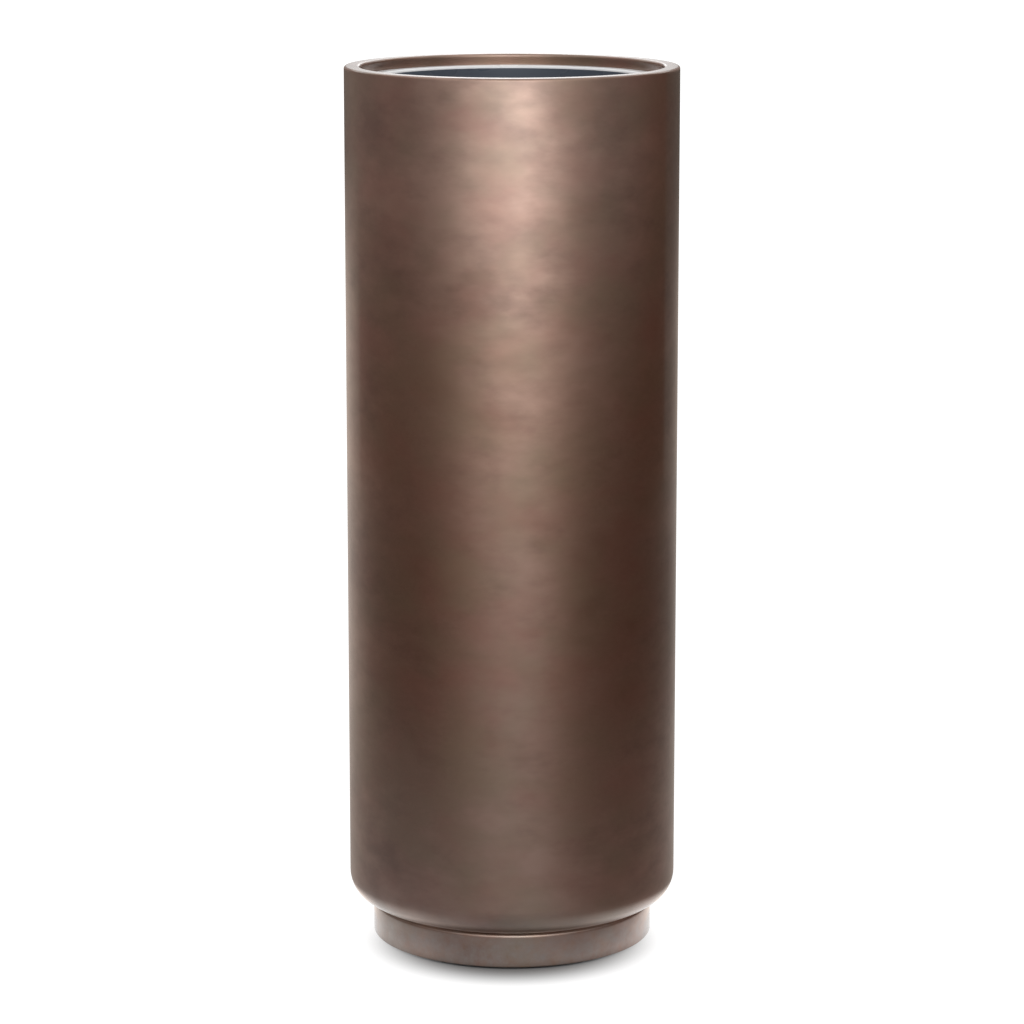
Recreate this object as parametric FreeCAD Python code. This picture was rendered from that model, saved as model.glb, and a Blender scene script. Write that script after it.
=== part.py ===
"""Tall round fiberglass planter with a lift-out liner.

A bronze-lacquered shell stands on a recessed foot. Its rim turns in and down to a short skirt,
and a ledge ring bonded inside the skirt carries the flange of a plastic liner. Two wire handles
inside the liner lift it out, and a rubber plug closes the drain in the liner and in the floor.

Lengths are in millimetres. +Z is up, and the origin is the centre of the face it stands on.
The handles lie on the X axis, and +X is called right.
"""

import FreeCAD
import Part
import math
import os

from FreeCAD import Vector

# Shell
BODY_DIAMETER = 381.0
HEIGHT = 1016.0
SHELL_WALL = 4.0
RIM_WIDTH = 18.0
RIM_EDGE = 3.0  # rounding of the rim's two edges
SHOULDER = 32.0  # outside rounding where the body turns under
BASE_LIP = 5.5  # how far the turned-under base reaches in past the foot
MOULD_CORNER = 2.0  # inside rounding of moulded corners

# Foot
FOOT_INSET = 27.5  # how far the foot is set in from the body's side
FOOT_HEIGHT = 43.0  # from the standing face to the body's underside
FOOT_WALL = 5.0
FOOT_FLANGE = 32.0  # width of the foot's turned-in top and bottom
FOOT_EDGE = 1.5  # rounding of the foot's bottom edge
FOOT_TOP_EDGE = 6.0  # rounding of the foot's top edge, under the body
PAD_COUNT = 6
PAD_DIAMETER = 22.0
PAD_THICKNESS = 2.0

# Floor panel
FLOOR_THICKNESS = 12.0
FLOOR_GAP = 3.0  # from the panel's edge to the start of the shell's inside rounding

# Drains and their plugs
DRAIN_DIAMETER = 20.0
PLUG_CLEARANCE = 0.3
PLUG_HEAD_DIAMETER = 34.0
PLUG_HEAD_THICKNESS = 5.0
PLUG_REACH = 4.0  # how far the stem passes through its panel
PLUG_TAPER = 2.0  # how much narrower than the stem its tip is, in radius
TAB_WIDTH = 16.0
TAB_THICKNESS = 5.0
TAB_HEIGHT = 14.0
TAB_ROUNDING = 6.0

# Ledge that carries the liner
LEDGE_WIDTH = 9.0
LEDGE_THICKNESS = 4.0
LEDGE_LEG = 30.0
SKIRT_MARGIN = 6.0  # how far the skirt reaches below the ledge's leg

# Liner
LINER_RECESS = 12.5  # from the rim down to the liner's flange
LINER_DEPTH = 300.0
LINER_WALL = 3.0
LINER_FLANGE = 4.0
LINER_GAP = 1.0  # from the flange's edge to the skirt
LEDGE_GAP = 4.5  # from the ledge's edge to the liner's collar, wide enough for the rivets
LINER_LIP = 3.0  # rounding of the flange's inner edge
COLLAR_HEIGHT = 70.0  # the straight top of the liner, above the taper
LINER_TAPER = 17.5  # how much narrower the liner's base is than its collar, in radius
LINER_CORNER = 20.0

# Handles
WIRE_DIAMETER = 4.0
HANDLE_SPAN = 84.0  # between the centres of the two legs
HANDLE_DROP = 40.0  # from the pivot to the grip's centre
WIRE_BEND = 5.0  # centreline radius where a leg turns into the pivot
GRIP_BEND = 10.0  # centreline radius where a leg turns into the grip
PIVOT_DEPTH = 18.0  # from the flange's top to the pivot
PIVOT_STANDOFF = 10.5  # from the collar to the pivot, at the lug
PIVOT_CLEARANCE = 0.1
PIVOT_PROUD = 1.5  # how far the wire's end stands out of its eye

# Lugs and their rivets
EYE_LENGTH = 8.0
EYE_WALL = 2.2
EYE_GAP = 0.6  # from the wire's bend to the eye
STRAP_WIDTH = 13.0
STRAP_THICKNESS = 2.0
STRAP_BEDDING = 0.3  # sealant between a strap and the collar
STRAP_TOP = 6.0  # above the pivot
STRAP_TAIL = 6.5  # below the rivet
WEB_HEIGHT = 5.0
RIVET_DROP = 14.0  # from the pivot to the rivet
RIVET_DIAMETER = 3.2
RIVET_CLEARANCE = 0.1
RIVET_HEAD_DIAMETER = 7.0
RIVET_HEAD_THICKNESS = 1.6
RIVET_HEAD_EDGE = 0.8
RIVET_TAIL_DIAMETER = 5.6
RIVET_TAIL_THICKNESS = 1.4
WASHER_DIAMETER = 9.0
WASHER_THICKNESS = 1.0

# Radii and heights that follow from the sizes above
BODY_RADIUS = BODY_DIAMETER / 2
SKIRT_RADIUS = BODY_RADIUS - RIM_WIDTH
FOOT_RADIUS = BODY_RADIUS - FOOT_INSET
BASE_RADIUS = FOOT_RADIUS - FOOT_FLANGE - BASE_LIP
DRAIN_RADIUS = DRAIN_DIAMETER / 2
LEDGE_RADIUS = SKIRT_RADIUS - LEDGE_WIDTH
COLLAR_OUTSIDE = LEDGE_RADIUS - LEDGE_GAP
COLLAR_INSIDE = COLLAR_OUTSIDE - LINER_WALL
STRAP_OUTSIDE = COLLAR_INSIDE - STRAP_BEDDING
STRAP_INSIDE = STRAP_OUTSIDE - STRAP_THICKNESS
FLOOR_BOTTOM = FOOT_HEIGHT + SHELL_WALL
FLANGE_TOP = HEIGHT - LINER_RECESS
LEDGE_TOP = FLANGE_TOP - LINER_FLANGE
LINER_BOTTOM = FLANGE_TOP - LINER_DEPTH
PIVOT_HEIGHT = FLANGE_TOP - PIVOT_DEPTH
RIVET_HEIGHT = PIVOT_HEIGHT - RIVET_DROP
LUG_Y = HANDLE_SPAN / 2 + WIRE_BEND + EYE_GAP + EYE_LENGTH / 2
LUG_ANGLE = math.degrees(math.asin(LUG_Y / COLLAR_INSIDE))
PIVOT_X = math.sqrt(COLLAR_INSIDE**2 - LUG_Y**2) - PIVOT_STANDOFF

ORIGIN = Vector(0, 0, 0)
X_AXIS = Vector(1, 0, 0)
Y_AXIS = Vector(0, 1, 0)
Z_AXIS = Vector(0, 0, 1)


def rounded_edges(corners, closed):
    """Lines through (point, rounding) corners, with a tangent arc at each rounded one."""
    points = [point for point, _ in corners]
    count = len(corners)
    stops = []
    for i, (corner, rounding) in enumerate(corners):
        at_end = not closed and i in (0, count - 1)
        if rounding == 0 or at_end:
            stops.append((corner, None, corner))
            continue
        back = (points[i - 1] - corner).normalize()
        ahead = (points[(i + 1) % count] - corner).normalize()
        half_angle = back.getAngle(ahead) / 2
        reach = rounding / math.tan(half_angle)
        to_arc = rounding / math.sin(half_angle) - rounding
        middle = corner + (back + ahead).normalize() * to_arc
        stops.append((corner + back * reach, middle, corner + ahead * reach))
    edges = []
    for i, (entry, middle, leave) in enumerate(stops):
        if middle is not None:
            edges.append(Part.Arc(entry, middle, leave).toShape())
        is_last = i == count - 1
        following = stops[(i + 1) % count][0]
        if (closed or not is_last) and leave.distanceToPoint(following) > 1e-6:
            edges.append(Part.LineSegment(leave, following).toShape())
    return edges


def turned(outline):
    """A solid of revolution about Z, from (radius, height, rounding) corners."""
    corners = [(Vector(radius, 0, height), rounding) for radius, height, rounding in outline]
    face = Part.Face(Part.Wire(rounded_edges(corners, closed=True)))
    return face.revolve(ORIGIN, Z_AXIS, 360)


def ring(inside, outside, bottom, top):
    """A plain ring about Z, or a disc where inside is 0."""
    return turned([(inside, bottom, 0), (outside, bottom, 0), (outside, top, 0), (inside, top, 0)])


def box(low, high):
    """A box between two corners."""
    size = high - low
    return Part.makeBox(size.x, size.y, size.z, low)


def at_lug(shape):
    """Turns a shape made on the +X side to the right rear lug's place round the liner."""
    turned_shape = shape.copy()
    turned_shape.rotate(ORIGIN, Z_AXIS, LUG_ANGLE)
    return turned_shape


def on_side(shape, side, end):
    """A copy of a right rear shape at the side 'left' or 'right' and the end 'front' or 'rear'."""
    placed = shape.copy()
    if side == "left":
        placed = placed.mirror(ORIGIN, X_AXIS)
    if end == "front":
        placed = placed.mirror(ORIGIN, Y_AXIS)
    return placed


def outer_shell():
    """The lacquered body: straight wall, rounded base, turned-in rim and skirt."""
    inside = BODY_RADIUS - SHELL_WALL
    skirt_bottom = LEDGE_TOP - LEDGE_LEG - SKIRT_MARGIN
    return turned([
        (BASE_RADIUS, FOOT_HEIGHT, 0),
        (BODY_RADIUS, FOOT_HEIGHT, SHOULDER),
        (BODY_RADIUS, HEIGHT, RIM_EDGE),
        (SKIRT_RADIUS, HEIGHT, RIM_EDGE),
        (SKIRT_RADIUS, skirt_bottom, 0),
        (SKIRT_RADIUS + SHELL_WALL, skirt_bottom, 0),
        (SKIRT_RADIUS + SHELL_WALL, HEIGHT - SHELL_WALL, MOULD_CORNER),
        (inside, HEIGHT - SHELL_WALL, MOULD_CORNER),
        (inside, FLOOR_BOTTOM, SHOULDER - SHELL_WALL),
        (BASE_RADIUS, FLOOR_BOTTOM, 0),
    ])


def foot_ring():
    """The recessed foot: a channel ring, bonded under the body."""
    inside = FOOT_RADIUS - FOOT_WALL
    flange = FOOT_RADIUS - FOOT_FLANGE
    return turned([
        (flange, PAD_THICKNESS, 0),
        (FOOT_RADIUS, PAD_THICKNESS, FOOT_EDGE),
        (FOOT_RADIUS, FOOT_HEIGHT, FOOT_TOP_EDGE),
        (flange, FOOT_HEIGHT, 0),
        (flange, FOOT_HEIGHT - FOOT_WALL, 0),
        (inside, FOOT_HEIGHT - FOOT_WALL, MOULD_CORNER),
        (inside, PAD_THICKNESS + FOOT_WALL, MOULD_CORNER),
        (flange, PAD_THICKNESS + FOOT_WALL, 0),
    ])


def foot_pad(index):
    """One of the rubber pads under the foot's bottom flange."""
    pad = ring(0, PAD_DIAMETER / 2, 0, PAD_THICKNESS)
    pad.translate(Vector(FOOT_RADIUS - FOOT_FLANGE / 2, 0, 0))
    pad.rotate(ORIGIN, Z_AXIS, index * 360 / PAD_COUNT)
    return pad


def base_floor():
    """The panel bonded on the turned-under base, with the drain hole in its middle."""
    edge = BODY_RADIUS - SHOULDER - FLOOR_GAP
    return ring(DRAIN_RADIUS, edge, FLOOR_BOTTOM, FLOOR_BOTTOM + FLOOR_THICKNESS)


def drain_plug(panel_bottom, panel_thickness):
    """A rubber plug seated in a drain from above, with a tab to pull it by."""
    stem = DRAIN_RADIUS - PLUG_CLEARANCE
    seat = panel_bottom + panel_thickness
    head_top = seat + PLUG_HEAD_THICKNESS
    body = turned([
        (0, panel_bottom - PLUG_REACH, 0),
        (stem - PLUG_TAPER, panel_bottom - PLUG_REACH, 0),
        (stem, panel_bottom, 0),
        (stem, seat, 0),
        (PLUG_HEAD_DIAMETER / 2, seat, 0),
        (PLUG_HEAD_DIAMETER / 2, head_top, PLUG_HEAD_THICKNESS / 2),
        (0, head_top, 0),
    ])
    half_width = TAB_WIDTH / 2
    tab_top = head_top + TAB_HEIGHT
    outline = rounded_edges(
        [
            (Vector(-half_width, -TAB_THICKNESS / 2, seat), 0),
            (Vector(half_width, -TAB_THICKNESS / 2, seat), 0),
            (Vector(half_width, -TAB_THICKNESS / 2, tab_top), TAB_ROUNDING),
            (Vector(-half_width, -TAB_THICKNESS / 2, tab_top), TAB_ROUNDING),
        ],
        closed=True,
    )
    tab = Part.Face(Part.Wire(outline)).extrude(Vector(0, TAB_THICKNESS, 0))
    return body.fuse(tab).removeSplitter()


def liner_ledge_ring():
    """The angle ring bonded inside the skirt, on which the liner's flange rests."""
    leg = SKIRT_RADIUS - LEDGE_THICKNESS
    return turned([
        (LEDGE_RADIUS, LEDGE_TOP, 0),
        (LEDGE_RADIUS, LEDGE_TOP - LEDGE_THICKNESS, 0),
        (leg, LEDGE_TOP - LEDGE_THICKNESS, 0),
        (leg, LEDGE_TOP - LEDGE_LEG, 0),
        (SKIRT_RADIUS, LEDGE_TOP - LEDGE_LEG, 0),
        (SKIRT_RADIUS, LEDGE_TOP, 0),
    ])


def liner():
    """The lift-out pot: flange, straight collar, tapered wall and floor with a drain."""
    flange_edge = SKIRT_RADIUS - LINER_GAP
    taper_top = FLANGE_TOP - COLLAR_HEIGHT
    base_outside = COLLAR_OUTSIDE - LINER_TAPER
    pot = turned([
        (DRAIN_RADIUS, LINER_BOTTOM, 0),
        (base_outside, LINER_BOTTOM, LINER_CORNER),
        (COLLAR_OUTSIDE, taper_top, 0),
        (COLLAR_OUTSIDE, LEDGE_TOP, 0),
        (flange_edge, LEDGE_TOP, 0),
        (flange_edge, FLANGE_TOP, LINER_WALL / 3),
        (COLLAR_INSIDE, FLANGE_TOP, LINER_LIP),
        (COLLAR_INSIDE, taper_top, 0),
        (base_outside - LINER_WALL, LINER_BOTTOM + LINER_WALL, LINER_CORNER - LINER_WALL),
        (DRAIN_RADIUS, LINER_BOTTOM + LINER_WALL, 0),
    ])
    for side, end in lug_places():
        pot = pot.cut(on_side(at_lug(rivet_hole()), side, end))
    return pot


def handle(side):
    """One wire handle, hanging down from its pivot."""
    half_span = HANDLE_SPAN / 2
    pivot_end = LUG_Y + EYE_LENGTH / 2 + PIVOT_PROUD
    grip_height = PIVOT_HEIGHT - HANDLE_DROP
    path = Part.Wire(rounded_edges(
        [
            (Vector(PIVOT_X, -pivot_end, PIVOT_HEIGHT), 0),
            (Vector(PIVOT_X, -half_span, PIVOT_HEIGHT), WIRE_BEND),
            (Vector(PIVOT_X, -half_span, grip_height), GRIP_BEND),
            (Vector(PIVOT_X, half_span, grip_height), GRIP_BEND),
            (Vector(PIVOT_X, half_span, PIVOT_HEIGHT), WIRE_BEND),
            (Vector(PIVOT_X, pivot_end, PIVOT_HEIGHT), 0),
        ],
        closed=False,
    ))
    start = Vector(PIVOT_X, -pivot_end, PIVOT_HEIGHT)
    section = Part.Wire(Part.makeCircle(WIRE_DIAMETER / 2, start, Y_AXIS))
    return on_side(path.makePipeShell([section], True, True), side, "rear")


def handle_lug():
    """The right rear lug: a strap against the collar, with an eye for the wire."""
    low = RIVET_HEIGHT - STRAP_TAIL
    high = PIVOT_HEIGHT + STRAP_TOP
    inside_strap = ring(0, STRAP_OUTSIDE, low, high)
    layer = inside_strap.cut(ring(0, STRAP_INSIDE, low, high))
    strap = layer.common(at_lug(box(
        Vector(0, -STRAP_WIDTH / 2, low),
        Vector(STRAP_OUTSIDE, STRAP_WIDTH / 2, high),
    )))
    web = inside_strap.common(box(
        Vector(PIVOT_X, LUG_Y - EYE_LENGTH / 2, PIVOT_HEIGHT - WEB_HEIGHT / 2),
        Vector(STRAP_OUTSIDE, LUG_Y + EYE_LENGTH / 2, PIVOT_HEIGHT + WEB_HEIGHT / 2),
    ))
    bore = WIRE_DIAMETER / 2 + PIVOT_CLEARANCE
    eye_start = Vector(PIVOT_X, LUG_Y - EYE_LENGTH / 2, PIVOT_HEIGHT)
    eye = Part.makeCylinder(bore + EYE_WALL, EYE_LENGTH, eye_start, Y_AXIS)
    hole = Part.makeCylinder(bore, EYE_LENGTH, eye_start, Y_AXIS)
    lug = strap.fuse([web, eye]).cut([hole, at_lug(rivet_hole())])
    return lug.removeSplitter()


def radial(shape):
    """Lays a shape made along Z on the +X radius, at the rivets' height."""
    laid = shape.copy()
    laid.rotate(ORIGIN, Y_AXIS, 90)
    laid.translate(Vector(0, 0, RIVET_HEIGHT))
    return laid


def rivet_hole():
    """What a rivet's hole takes out of the strap, the collar and the washer."""
    radius = RIVET_DIAMETER / 2 + RIVET_CLEARANCE
    start = STRAP_INSIDE - RIVET_HEAD_THICKNESS
    end = COLLAR_OUTSIDE + WASHER_THICKNESS
    return radial(ring(0, radius, start, end))


def rivet():
    """A rivet with its head on the strap and its tail set over the washer."""
    head_radius = RIVET_HEAD_DIAMETER / 2
    shank = RIVET_DIAMETER / 2
    tail = RIVET_TAIL_DIAMETER / 2
    seat = math.sqrt(STRAP_INSIDE**2 - head_radius**2)
    washer_face = COLLAR_OUTSIDE + WASHER_THICKNESS
    return radial(turned([
        (0, seat - RIVET_HEAD_THICKNESS, 0),
        (head_radius, seat - RIVET_HEAD_THICKNESS, RIVET_HEAD_EDGE),
        (head_radius, seat, 0),
        (shank, seat, 0),
        (shank, washer_face, 0),
        (tail, washer_face, 0),
        (tail, washer_face + RIVET_TAIL_THICKNESS, RIVET_TAIL_THICKNESS / 2),
        (0, washer_face + RIVET_TAIL_THICKNESS, 0),
    ]))


def washer():
    """The backing washer under a rivet's tail, outside the liner."""
    hole = RIVET_DIAMETER / 2 + RIVET_CLEARANCE
    return radial(ring(
        hole, WASHER_DIAMETER / 2, COLLAR_OUTSIDE, COLLAR_OUTSIDE + WASHER_THICKNESS
    ))


def lug_places():
    """The four lugs, by side and end."""
    return [(side, end) for side in ("left", "right") for end in ("front", "rear")]


def at_all_lugs(shape):
    """A group of four separate copies of a right rear shape."""
    return Part.makeCompound([on_side(shape, side, end) for side, end in lug_places()])


def planter():
    """Every piece of the planter, by name."""
    pieces = {
        "outer_shell": outer_shell(),
        "foot_ring": foot_ring(),
        "base_floor": base_floor(),
        "floor_drain_plug": drain_plug(FLOOR_BOTTOM, FLOOR_THICKNESS),
        "liner_ledge_ring": liner_ledge_ring(),
        "liner": liner(),
        "liner_drain_plug": drain_plug(LINER_BOTTOM, LINER_WALL),
        "lug_rivets": at_all_lugs(at_lug(rivet())),
        "rivet_washers": at_all_lugs(at_lug(washer())),
    }
    for index in range(PAD_COUNT):
        pieces[f"foot_pad_{index + 1}"] = foot_pad(index)
    for side in ("left", "right"):
        pieces[f"{side}_handle"] = handle(side)
    for side, end in lug_places():
        pieces[f"{side}_{end}_lug"] = on_side(handle_lug(), side, end)
    return pieces


os.makedirs("parts", exist_ok=True)
for name, shape in planter().items():
    shape.exportStep(f"parts/{name}.step")
    print(name, "valid" if shape.isValid() else "NOT VALID", round(shape.Volume))
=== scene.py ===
"""Looks and studio for a tall round fiberglass planter with a lift-out liner.

Everything is in metres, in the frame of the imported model: +Z up, the origin in the middle of the
face that the planter stands on, the handles on the X axis and the front towards -Y.
"""

import math

import bmesh
import bpy
from bpy.props import FloatProperty, FloatVectorProperty, PointerProperty
from bpy.types import Operator, Panel, PropertyGroup
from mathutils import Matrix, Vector


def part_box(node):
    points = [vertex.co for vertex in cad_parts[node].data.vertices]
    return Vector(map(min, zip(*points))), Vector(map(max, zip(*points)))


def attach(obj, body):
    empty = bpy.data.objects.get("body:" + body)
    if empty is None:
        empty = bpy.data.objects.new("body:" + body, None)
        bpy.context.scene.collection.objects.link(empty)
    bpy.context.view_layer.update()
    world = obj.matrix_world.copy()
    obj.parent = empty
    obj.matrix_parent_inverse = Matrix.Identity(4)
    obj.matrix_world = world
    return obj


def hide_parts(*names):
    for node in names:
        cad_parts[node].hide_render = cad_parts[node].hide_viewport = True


bl_info = {
    "name": "Tall round planter",
    "version": (1, 0, 0),
    "blender": (4, 5, 0),
    "location": "View3D > Sidebar > Planter",
    "description": "Builds the finished look of a tall round planter round its packed model",
    "category": "Add Mesh",
}

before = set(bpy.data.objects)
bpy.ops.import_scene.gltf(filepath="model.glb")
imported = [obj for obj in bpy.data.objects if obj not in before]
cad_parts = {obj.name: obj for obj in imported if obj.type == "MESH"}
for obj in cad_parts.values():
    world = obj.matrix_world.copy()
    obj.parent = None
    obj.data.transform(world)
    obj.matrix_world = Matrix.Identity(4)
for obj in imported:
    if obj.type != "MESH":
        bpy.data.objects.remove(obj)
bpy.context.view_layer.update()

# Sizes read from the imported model
SHELL_LOW, SHELL_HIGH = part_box("outer_shell")
FOOT_LOW, FOOT_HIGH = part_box("foot_ring")
FLOOR_LOW, FLOOR_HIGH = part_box("base_floor")
LEDGE_LOW, LEDGE_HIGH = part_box("liner_ledge_ring")
LINER_LOW, LINER_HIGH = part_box("liner")
PAD_LOW, PAD_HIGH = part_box("foot_pad_1")
HANDLE_LOW, HANDLE_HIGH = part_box("right_handle")

BODY_RADIUS = min(SHELL_HIGH.x, SHELL_HIGH.y, -SHELL_LOW.x, -SHELL_LOW.y)
FOOT_RADIUS = min(FOOT_HIGH.x, FOOT_HIGH.y, -FOOT_LOW.x, -FOOT_LOW.y)
SKIRT_RADIUS = min(LEDGE_HIGH.x, LEDGE_HIGH.y, -LEDGE_LOW.x, -LEDGE_LOW.y)
FLANGE_RADIUS = min(LINER_HIGH.x, LINER_HIGH.y, -LINER_LOW.x, -LINER_LOW.y)
FLOOR_RADIUS = min(FLOOR_HIGH.x, FLOOR_HIGH.y, -FLOOR_LOW.x, -FLOOR_LOW.y)
SHELL_WALL = FLOOR_LOW.z - SHELL_LOW.z
PAD_RADIUS = (PAD_HIGH.y - PAD_LOW.y) / 2
PAD_RING = (PAD_HIGH.x + PAD_LOW.x) / 2
WIRE_RADIUS = (HANDLE_HIGH.x - HANDLE_LOW.x) / 2
HANDLE_X = (HANDLE_HIGH.x + HANDLE_LOW.x) / 2

# How finely turned and bent pieces are divided
TURN_STEPS = 288
SMALL_TURN_STEPS = 32
ARC_STEP = math.radians(8)
WIRE_BEND_STEPS = 10
LONGEST_RUN = 0.012
SUPPORT = 0.0012  # from the end of a rounding to the next ring of points
SHARP_ANGLE = math.radians(34)
FOOT_PADS = 6

# Roundings that nothing else gives
CUT_EDGE = 0.0008
MOULDED_EDGE = 0.001
FOOT_LOW_EDGE = 0.0015
COLLAR_EDGE = 0.0012
INNER_CORNER = 0.002


# ---------------------------------------------------------------------------------------------
# Settings


class PlanterSizes(PropertyGroup):
    """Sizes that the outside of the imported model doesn't give."""

    rim_edge: FloatProperty(
        name="Rim edge", description="Rounding of the rim's two edges", default=0.003,
        unit="LENGTH",
    )
    shoulder: FloatProperty(
        name="Shoulder", description="Rounding where the body turns under", default=0.032,
        unit="LENGTH",
    )
    skirt_bottom: FloatProperty(
        name="Skirt bottom", description="Height of the inner skirt's lower edge",
        default=LEDGE_LOW.z - 0.006, unit="LENGTH",
    )
    base_lip: FloatProperty(
        name="Base lip", description="How far the base reaches in past the foot", default=0.0055,
        unit="LENGTH",
    )
    foot_flange: FloatProperty(
        name="Foot flange", description="Width of the foot's top and bottom", default=0.032,
        unit="LENGTH",
    )
    foot_wall: FloatProperty(
        name="Foot wall", description="Thickness of the foot", default=0.005, unit="LENGTH"
    )
    foot_top_edge: FloatProperty(
        name="Foot top edge", description="Rounding of the foot's top edge, under the body",
        default=0.006, unit="LENGTH",
    )
    drain_radius: FloatProperty(
        name="Drain radius", description="Radius of both drain holes", default=0.010, unit="LENGTH"
    )
    ledge_width: FloatProperty(
        name="Ledge width", description="How far the liner's ledge stands out of the skirt",
        default=0.009, unit="LENGTH",
    )
    ledge_thickness: FloatProperty(
        name="Ledge thickness", description="Thickness of the ledge ring", default=0.004,
        unit="LENGTH",
    )
    liner_wall: FloatProperty(
        name="Liner wall", description="Thickness of the liner", default=0.003, unit="LENGTH"
    )
    collar_gap: FloatProperty(
        name="Collar gap", description="From the ledge's edge to the liner's collar",
        default=0.0045, unit="LENGTH",
    )
    collar_height: FloatProperty(
        name="Collar height", description="Straight top of the liner", default=0.070, unit="LENGTH"
    )
    liner_taper: FloatProperty(
        name="Liner taper", description="How much narrower in radius the liner's base is",
        default=0.0175, unit="LENGTH",
    )
    liner_corner: FloatProperty(
        name="Liner corner", description="Outside rounding of the liner's base", default=0.020,
        unit="LENGTH",
    )


class PlanterFinish(PropertyGroup):
    """Colours of the finishes."""

    bronze_dark: FloatVectorProperty(
        name="Bronze, dark clouds", description="Lacquer colour in the dark clouds",
        default=(0.215, 0.126, 0.090), subtype="COLOR",
    )
    bronze_light: FloatVectorProperty(
        name="Bronze, light clouds", description="Lacquer colour in the light clouds",
        default=(0.375, 0.238, 0.180), subtype="COLOR",
    )
    bronze_cool: FloatVectorProperty(
        name="Bronze, cool clouds", description="Olive tint of the patina's cool patches",
        default=(0.250, 0.185, 0.120), subtype="COLOR",
    )
    bronze_red: FloatVectorProperty(
        name="Bronze, red clouds", description="Copper tint of the patina's red patches",
        default=(0.300, 0.150, 0.110), subtype="COLOR",
    )
    # Painted sheen: a paler grey mixed in low on the body and more on the foot, for their
    # reflection of the pale floor
    low_sheen_colour: FloatVectorProperty(
        name="Painted sheen", description="Dust that settles low on the body and the foot",
        default=(0.300, 0.285, 0.275), subtype="COLOR",
    )
    liner_colour: FloatVectorProperty(
        name="Liner", description="Blue-grey of the liner", default=(0.068, 0.081, 0.102),
        subtype="COLOR",
    )
    # Partly a painted highlight: the flange's pale colour also stands in for the bright light
    # along its edge
    flange_colour_and_highlight: FloatVectorProperty(
        name="Liner flange", description="Pale flange of the liner", default=(0.930, 0.935, 0.940),
        subtype="COLOR",
    )
    laminate_colour: FloatVectorProperty(
        name="Bare laminate", description="Unpainted fiberglass inside the body",
        default=(0.330, 0.300, 0.215), subtype="COLOR",
    )
    steel_colour: FloatVectorProperty(
        name="Steel", description="Stainless wire, lugs and rivets", default=(0.560, 0.555, 0.540),
        subtype="COLOR",
    )
    rubber_colour: FloatVectorProperty(
        name="Rubber", description="Drain plugs and foot pads", default=(0.022, 0.022, 0.023),
        subtype="COLOR",
    )


class PlanterStudio(PropertyGroup):
    """Camera and light."""

    camera_distance: FloatProperty(
        name="Camera distance", description="From the planter's axis to the camera", default=4.300,
        unit="LENGTH",
    )
    camera_height: FloatProperty(
        name="Camera height", description="Height of the camera", default=1.3497, unit="LENGTH"
    )
    camera_tilt: FloatProperty(
        name="Camera tilt", description="How far the camera looks down", default=0.1950,
        unit="ROTATION",
    )
    camera_lens: FloatProperty(
        name="Lens", description="Focal length", default=133.01, unit="CAMERA"
    )
    ambient: FloatProperty(
        name="Ambient", description="Strength of the white surroundings", default=0.9
    )
    softbox_power: FloatProperty(
        name="Softbox", description="Power of the soft lamp in front", default=14.0, unit="POWER"
    )


# ---------------------------------------------------------------------------------------------
# Outlines and meshes


def rounded_corner(before, corner, after, rounding, steps=None):
    """Points round a corner, from the end of one straight to the start of the next."""
    back = (before - corner).normalized()
    ahead = (after - corner).normalized()
    half = back.angle(ahead) / 2
    centre = corner + (back + ahead).normalized() * (rounding / math.sin(half))
    spoke = corner + back * (rounding / math.tan(half)) - centre
    turn = math.pi - 2 * half
    steps = steps or max(3, math.ceil(turn / ARC_STEP))
    sign = 1 if spoke.cross(corner - centre) > 0 else -1
    arc = []
    for step in range(steps + 1):
        angle = sign * turn * step / steps
        cosine = math.cos(angle)
        sine = math.sin(angle)
        arc.append(centre + Vector((
            spoke.x * cosine - spoke.y * sine,
            spoke.x * sine + spoke.y * cosine,
        )))
    return arc


def rounded_outline(corners):
    """Points (radius, height, bare) round a closed outline.

    Its corners are (radius, height, rounding, bare). Long runs get points at most LONGEST_RUN
    apart, and one close to each end, so that the shading of a rounding stays within it.
    """
    count = len(corners)
    places = [Vector(corner[:2]) for corner in corners]
    arcs = []
    for i, (_, _, rounding, _) in enumerate(corners):
        ends = places[i - 1], places[i], places[(i + 1) % count]
        arcs.append(rounded_corner(*ends, rounding) if rounding else [places[i]])
    outline = []
    for i, arc in enumerate(arcs):
        bare = corners[i][3]
        outline += [(point.x, point.y, bare) for point in arc]
        leave = arc[-1]
        following = arcs[(i + 1) % count][0]
        run = (following - leave).length
        if run <= 4 * SUPPORT:
            continue
        steps = math.ceil(run / LONGEST_RUN)
        shares = [step / steps for step in range(1, steps)]
        shares = [share for share in shares if SUPPORT < run * share < run - SUPPORT]
        run_bare = min(bare, corners[(i + 1) % count][3])
        for share in (SUPPORT / run, *shares, 1 - SUPPORT / run):
            point = leave.lerp(following, share)
            outline.append((point.x, point.y, run_bare))
    return outline


def rounded_route(corners):
    """Points along an open route of (y, z, rounding) corners."""
    places = [Vector(corner[:2]) for corner in corners]
    route = []
    for i, (_, _, rounding) in enumerate(corners):
        if rounding:
            ends = places[i - 1], places[i], places[i + 1]
            route += rounded_corner(*ends, rounding, WIRE_BEND_STEPS)
        else:
            route.append(places[i])
    return [(point.x, point.y) for point in route]


def add_object(name, mesh):
    """A new object at the origin with this mesh."""
    piece = bpy.data.objects.new(name, mesh)
    bpy.context.scene.collection.objects.link(piece)
    return piece


def close_and_smooth(mesh):
    """Merges doubles, points the faces outwards and shades all but the sharp edges smooth."""
    work = bmesh.new()
    work.from_mesh(mesh)
    bmesh.ops.remove_doubles(work, verts=work.verts, dist=1e-6)
    bmesh.ops.recalc_face_normals(work, faces=work.faces)
    for face in work.faces:
        face.smooth = True
    work.to_mesh(mesh)
    work.free()
    mesh.set_sharp_from_angle(angle=SHARP_ANGLE)


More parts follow.
